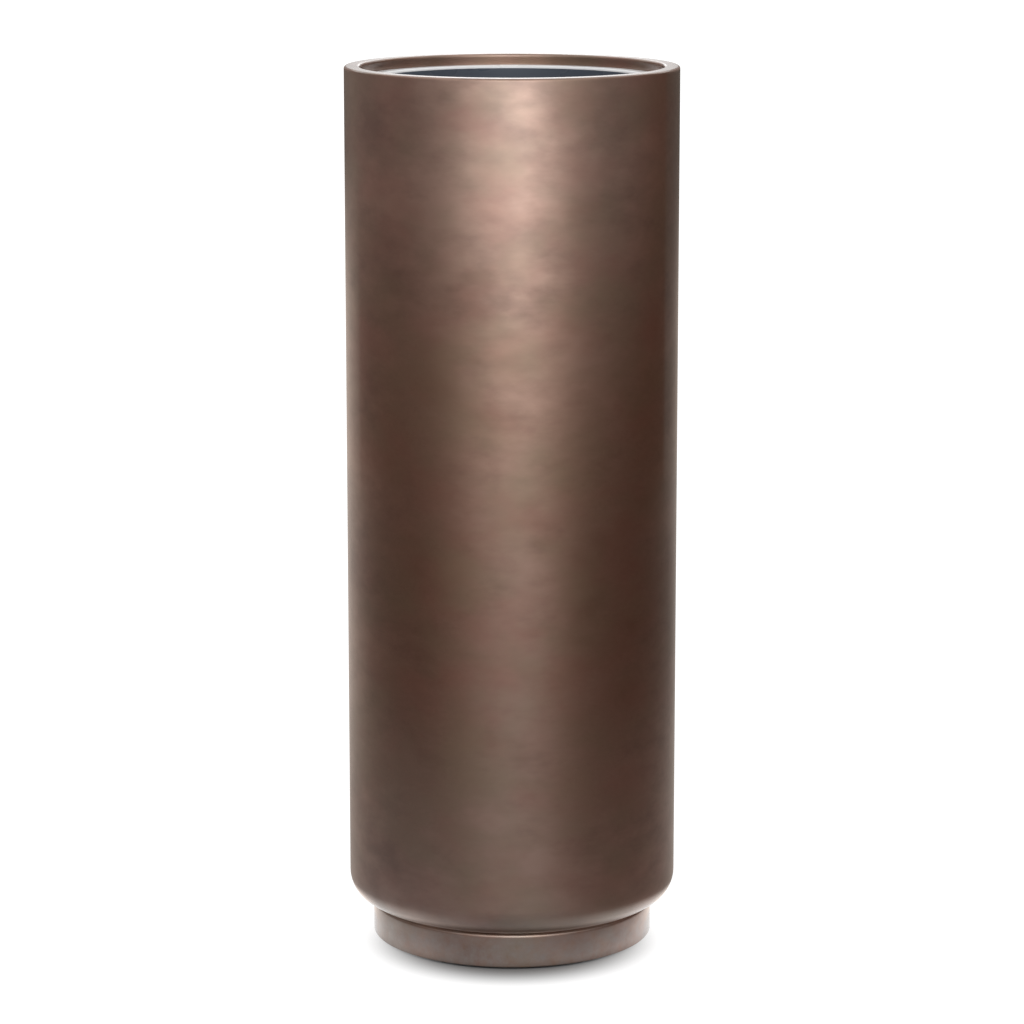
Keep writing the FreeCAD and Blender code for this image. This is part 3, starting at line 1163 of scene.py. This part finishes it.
# The floor, and how its painted shadow fades away from the foot: its white glow is held low near
# the foot, on top of the real shade on its grey
STAGE_RADIUS = 40.0
FLOOR_GREY = (0.30, 0.30, 0.30, 1)
FLOOR_LIFT = 0.90
# Painted shadow: where the floor's glow fades out round the foot
PAINTED_SHADOW_SHIFT = 0.058  # how much further it reaches in front than at the sides
PAINTED_SHADOW_START = FOOT_RADIUS - 0.060
PAINTED_SHADOW_END = FOOT_RADIUS + 0.020

# The soft lamp
LAMP_SIDE = 1.6
LAMP_PLACE = (0.8, -2.8, 2.6)
LAMP_AIM = (0, 0, 0.6)

# The panels that only reflections show: the screen in front and the bands behind stand at the
# same radius and meet at the screen's ends, and the card lies just above the floor
SCREEN_RADIUS = 3.0
SCREEN_TOP = 3.4
SCREEN_END = 128
BACKDROP_TOP = 0.86
CEILING_TOP = 2.0
CARD_HEIGHT = 0.002
CARD_HOLE = 0.19
PANEL_STEPS = 72

# What they show: (degrees from the front, brightness), to the left below 0. A ramp holds nothing
# above 1, so the colours are divided by the peak, and the strength is the peak.
SCREEN_PEAK = 5.0
SCREEN_HIGH_LEVELS = (
    (-128, 0.30), (-100, 0.37), (-75, 0.38), (-52, 0.46), (-34, 0.86), (-14, 2.4), (4, 3.9),
    (16, 2.9), (32, 1.10), (50, 0.60), (80, 0.38), (104, 0.24), (128, 0.11),
)
SCREEN_LOW_LEVELS = (
    (-128, 0.26), (-100, 0.18), (-75, 0.13), (-52, 0.13), (-34, 0.22), (-14, 0.36), (6, 0.48),
    (20, 0.35), (34, 0.16), (50, 0.09), (80, 0.08), (128, 0.08),
)
CARD_PEAK = 2.0
CARD_BEHIND = 100  # the card is beige past this many degrees
CARD_FAR_LEVELS = (
    (-180, 0.50), (-170, 0.56), (-150, 0.58), (-130, 0.40), (-104, 0.16), (-75, 0.09), (-48, 0.10),
    (-30, 0.18), (-14, 0.33), (6, 0.43), (20, 0.29), (36, 0.11), (54, 0.06), (90, 0.075),
    (135, 0.16), (170, 0.44), (180, 0.50),
)
CARD_NEAR_LEVELS = (
    (-180, 0.50), (-170, 0.46), (-145, 0.38), (-112, 0.44), (-80, 0.36), (-30, 0.34), (6, 0.46),
    (30, 0.30), (75, 0.23), (120, 0.36), (170, 0.50), (180, 0.50),
)
CARD_EDGE_LEVELS = (
    (-180, 1.4), (-110, 1.4), (-70, 0.95), (-35, 0.50), (0, 0.40), (35, 0.50), (70, 0.95),
    (110, 1.4), (180, 1.4),
)
BACKDROP_LOW_LEVELS = (
    (-180, 0.54), (-170, 0.60), (-150, 0.64), (-136, 0.50), (-124, 0.30), (124, 0.12), (150, 0.26),
    (170, 0.48), (180, 0.54),
)
BACKDROP_HIGH_LEVELS = (
    (-180, 0.12), (-160, 0.14), (-146, 0.20), (-134, 0.28), (-124, 0.30), (124, 0.08), (160, 0.11),
    (180, 0.12),
)
CEILING_PEAK = 2.0
CEILING_DIM = (0.125, 0.100, 0.085)
CEILING_LEVELS = (
    (-180, 2.0), (-177, 1.7), (-173, 0.5), (-168, 0.30), (-130, 0.25), (130, 0.25), (168, 0.30),
    (173, 0.5), (177, 1.7), (180, 2.0),
)


def seen_directly(made):
    """1 for rays of the camera and of mirrors and glass, which see the white background."""
    path = made.add("ShaderNodeLightPath")
    seen = mixed(made, "MAXIMUM", path.outputs["Is Camera Ray"], path.outputs["Is Glossy Ray"])
    return mixed(made, "MAXIMUM", seen, path.outputs["Is Transmission Ray"])


class PlainTree(NodeTree):
    """A world's or a material's own node tree under construction."""

    def __init__(self, tree):
        self.tree = tree
        self.nodes = tree.nodes
        self.links = tree.links
        self.nodes.clear()


def white_surroundings(scene, studio):
    """A world that is white to the camera and reflections, and lights at the ambient strength."""
    world = bpy.data.worlds.new("white_surroundings")
    world.use_nodes = True
    scene.world = world
    made = PlainTree(world.node_tree)
    seen = seen_directly(made)
    strength = made.add("ShaderNodeMapRange", {"Value": seen, "To Min": studio.ambient})
    light = made.add("ShaderNodeBackground", {"Color": WHITE, "Strength": strength.outputs[0]})
    made.add("ShaderNodeOutputWorld", {"Surface": light.outputs[0]})


def from_axis(made):
    """A stage point's distance from the planter's axis, its bearing and its height.

    The bearing runs from 0 at the back, through 0.25 at the left and 0.5 in front, to 1.
    """
    place = made.add("ShaderNodeTexCoord").outputs["Object"]
    flat = stretched(made, place, (1, 1, 0))
    length = made.add("ShaderNodeVectorMath", {0: flat}, operation="LENGTH")
    parts = made.add("ShaderNodeSeparateXYZ", {"Vector": place})
    ahead = mixed(made, "MULTIPLY", parts.outputs["Y"], -1.0)
    angle = mixed(made, "ARCTAN2", parts.outputs["X"], ahead)
    return length.outputs["Value"], spread(made, angle, -math.pi, math.pi), parts.outputs["Z"]


def screen_tone(level, _):
    """Shares of red, green and blue in a screen: warm where dim, white where bright."""
    return 1.0, min(1.0, 0.36 + 1.35 * level), min(1.0, 0.12 + 1.95 * level)


def card_tone(level, degrees):
    """The floor card's shares: beige behind, and in front warm where dim and cool where bright."""
    if abs(degrees) > CARD_BEHIND:
        return 1.0, 0.87, 0.78
    return 0.96, min(1.03, 0.25 + 2.0 * level), min(1.08, 0.05 + 2.7 * level)


def backdrop_tone(level, _):
    """The backdrop's shares: beige throughout."""
    return 1.0, 0.84, 0.73


def by_bearing(made, bearing, levels, peak=1.0, tone=screen_tone):
    """A colour that follows (degrees, level) pairs round the planter, divided by the peak."""
    ramp = made.add("ShaderNodeValToRGB", {"Fac": bearing})
    ramp.color_ramp.interpolation = "B_SPLINE"
    stops = ramp.color_ramp.elements
    while len(stops) < len(levels):
        stops.new(0.5)
    for stop, (degrees, level) in zip(stops, levels):
        stop.position = degrees / 360 + 0.5
        stop.color = (*[level * share / peak for share in tone(level, degrees)], 1)
    return ramp.outputs["Color"]


def pale_floor():
    """A wide white floor that keeps the planter's shadow, with a painted shadow round the foot
    where its white glow fades out.
    """
    bpy.ops.mesh.primitive_circle_add(vertices=96, radius=STAGE_RADIUS, fill_type="NGON")
    floor = bpy.context.object
    floor.name = "studio_floor"
    material = bpy.data.materials.new("white_floor")
    material.use_nodes = True
    made = PlainTree(material.node_tree)
    place = made.add("ShaderNodeTexCoord").outputs["Object"]
    shifted = moved(made, place, (0, PAINTED_SHADOW_SHIFT, 0))
    distance = made.add("ShaderNodeVectorMath", {0: shifted}, operation="LENGTH")
    matt = made.add("ShaderNodeBsdfDiffuse", {"Color": FLOOR_GREY})
    # Painted shadow: the glow is 0 near the foot and rises to FLOOR_LIFT away from it, reaching
    # further in front
    glow_past_painted_shadow = made.add("ShaderNodeMapRange", {
        "Value": distance.outputs["Value"],
        "From Min": PAINTED_SHADOW_START,
        "From Max": PAINTED_SHADOW_END,
        "To Max": FLOOR_LIFT,
    }, interpolation_type="SMOOTHSTEP")
    lift = mixed(made, "MULTIPLY", seen_directly(made), glow_past_painted_shadow.outputs[0])
    glow = made.add("ShaderNodeEmission", {"Color": WHITE, "Strength": lift})
    both = made.add("ShaderNodeAddShader", {0: matt.outputs[0], 1: glow.outputs[0]})
    made.add("ShaderNodeOutputMaterial", {"Surface": both.outputs[0]})
    floor.data.materials.append(material)


def reflection_only(name, points, faces, glow_of):
    """A studio panel that shows in reflections and nowhere else."""
    mesh = bpy.data.meshes.new(name)
    mesh.from_pydata(points, [], faces)
    material = bpy.data.materials.new(name)
    material.use_nodes = True
    made = PlainTree(material.node_tree)
    colour, strength = glow_of(made)
    glow = made.add("ShaderNodeEmission", {"Color": colour, "Strength": strength})
    made.add("ShaderNodeOutputMaterial", {"Surface": glow.outputs[0]})
    mesh.materials.append(material)
    panel = add_object(name, mesh)
    panel.visible_camera = False
    panel.visible_diffuse = False
    panel.visible_shadow = False
    panel.visible_transmission = False


def swept_panel(ends, from_degrees, to_degrees):
    """The points and faces of a panel between two (radius, height) ends, swept round the axis."""
    points = []
    for step in range(PANEL_STEPS + 1):
        share = step / PANEL_STEPS
        angle = math.radians(from_degrees + (to_degrees - from_degrees) * share)
        for radius, height in ends:
            points.append((radius * math.sin(angle), -radius * math.cos(angle), height))
    faces = [(2 * i, 2 * i + 2, 2 * i + 3, 2 * i + 1) for i in range(PANEL_STEPS)]
    return points, faces


def mixed_colour(made, factor, first, second):
    """A mix of two colours."""
    node = made.add("ShaderNodeMix", {"Factor": factor}, data_type="RGBA")
    return mix_ends(made.links, node, first, second)


def screen_glow(made):
    """The screen in front: a bright middle, much brighter and wider high up than low down."""
    _, bearing, height = from_axis(made)
    up = spread(made, height, 0.20, 0.76)
    low = by_bearing(made, bearing, SCREEN_LOW_LEVELS, SCREEN_PEAK)
    high = by_bearing(made, bearing, SCREEN_HIGH_LEVELS, SCREEN_PEAK)
    return mixed_colour(made, up, low, high), SCREEN_PEAK


def card_glow(made):
    """The card on the floor: its far part goes on from the screen, its near part is paler."""
    distance, bearing, _ = from_axis(made)
    clear = spread(made, distance, 0.21, 0.27)
    away = spread(made, distance, 0.40, 1.50)
    edge = by_bearing(made, bearing, CARD_EDGE_LEVELS, CARD_PEAK, card_tone)
    near = by_bearing(made, bearing, CARD_NEAR_LEVELS, CARD_PEAK, card_tone)
    far = by_bearing(made, bearing, CARD_FAR_LEVELS, CARD_PEAK, card_tone)
    beside = mixed_colour(made, clear, edge, near)
    return mixed_colour(made, away, beside, far), CARD_PEAK


def backdrop_glow(made):
    """The backdrop behind, which darkens with height to the level of the screen's ends."""
    _, bearing, height = from_axis(made)
    up = spread(made, height, 0.30, 0.62)
    low = by_bearing(made, bearing, BACKDROP_LOW_LEVELS, tone=backdrop_tone)
    high = by_bearing(made, bearing, BACKDROP_HIGH_LEVELS, tone=backdrop_tone)
    return mixed_colour(made, up, low, high), 1.0


def ceiling_glow(made):
    """The band over the backdrop: dim, and bright right behind in the part the rim mirrors."""
    _, bearing, height = from_axis(made)
    up = spread(made, height, 1.12, 1.24)
    high = by_bearing(made, bearing, CEILING_LEVELS, CEILING_PEAK)
    return mixed_colour(made, up, CEILING_DIM, high), CEILING_PEAK


def reflected_screens():
    """The screens, card and bands that only reflections show, which give the metal its shape."""
    behind = (SCREEN_END, 360 - SCREEN_END)
    upright = [(SCREEN_RADIUS, z) for z in (0.0, BACKDROP_TOP, CEILING_TOP, SCREEN_TOP)]
    flat = [(radius, CARD_HEIGHT) for radius in (CARD_HOLE, SCREEN_RADIUS)]
    for name, ends, sweep, glow_of in (
        ("front_screen", (upright[0], upright[3]), (-SCREEN_END, SCREEN_END), screen_glow),
        ("floor_card", flat, (-180, 180), card_glow),
        ("low_backdrop", upright[0:2], behind, backdrop_glow),
        ("ceiling_band", upright[1:3], behind, ceiling_glow),
    ):
        reflection_only(name, *swept_panel(ends, *sweep), glow_of)


def softbox(studio):
    """The soft lamp in front, a little to the right."""
    lamp = bpy.data.lights.new("soft_front_lamp", "AREA")
    lamp.shape = "RECTANGLE"
    lamp.size = LAMP_SIDE
    lamp.size_y = LAMP_SIDE
    lamp.energy = studio.softbox_power
    holder = bpy.data.objects.new("soft_front_lamp", lamp)
    bpy.context.scene.collection.objects.link(holder)
    holder.visible_glossy = False
    holder.location = LAMP_PLACE
    aim = Vector(LAMP_AIM) - holder.location
    holder.rotation_euler = aim.to_track_quat("-Z", "Y").to_euler()


def photo_camera(scene, studio):
    """The camera in front, above the rim and looking down a little."""
    data = bpy.data.cameras.new("photo_camera")
    data.lens = studio.camera_lens
    data.sensor_width = SENSOR_WIDTH
    camera = bpy.data.objects.new("photo_camera", data)
    scene.collection.objects.link(camera)
    camera.location = (0, -studio.camera_distance, studio.camera_height)
    camera.rotation_euler = (math.pi / 2 - studio.camera_tilt, 0, 0)
    scene.camera = camera


# ---------------------------------------------------------------------------------------------
# Panel and registration


BUILD_ORDER = (
    PLANTER_OT_shell,
    PLANTER_OT_foot,
    PLANTER_OT_floor_panel,
    PLANTER_OT_ledge,
    PLANTER_OT_liner,
    PLANTER_OT_handles,
    PLANTER_OT_lugs,
    PLANTER_OT_rivets,
    PLANTER_OT_plugs,
    PLANTER_OT_foot_pads,
    PLANTER_OT_stage,
)


class PLANTER_PT_build(Panel):
    """Lists the planter's settings and the steps that build it"""

    bl_idname = "PLANTER_PT_build"
    bl_label = "Tall round planter"
    bl_space_type = "VIEW_3D"
    bl_region_type = "UI"
    bl_category = "Planter"

    def draw(self, context):
        scene = context.scene
        for settings in (scene.planter_sizes, scene.planter_finish, scene.planter_studio):
            column = self.layout.column(align=True)
            for name in settings.__annotations__:
                column.prop(settings, name)
        for step in BUILD_ORDER:
            self.layout.operator(step.bl_idname)


SETTINGS = {
    "planter_sizes": PlanterSizes,
    "planter_finish": PlanterFinish,
    "planter_studio": PlanterStudio,
}


def register():
    for group in (*SETTINGS.values(), *BUILD_ORDER, PLANTER_PT_build):
        bpy.utils.register_class(group)
    for name, group in SETTINGS.items():
        setattr(bpy.types.Scene, name, PointerProperty(type=group))


def unregister():
    for name in SETTINGS:
        delattr(bpy.types.Scene, name)
    for group in reversed((*SETTINGS.values(), *BUILD_ORDER, PLANTER_PT_build)):
        bpy.utils.unregister_class(group)


def main():
    register()
    for step in BUILD_ORDER:
        area, name = step.bl_idname.split(".")
        getattr(getattr(bpy.ops, area), name)()


if __name__ == "__main__":
    main()
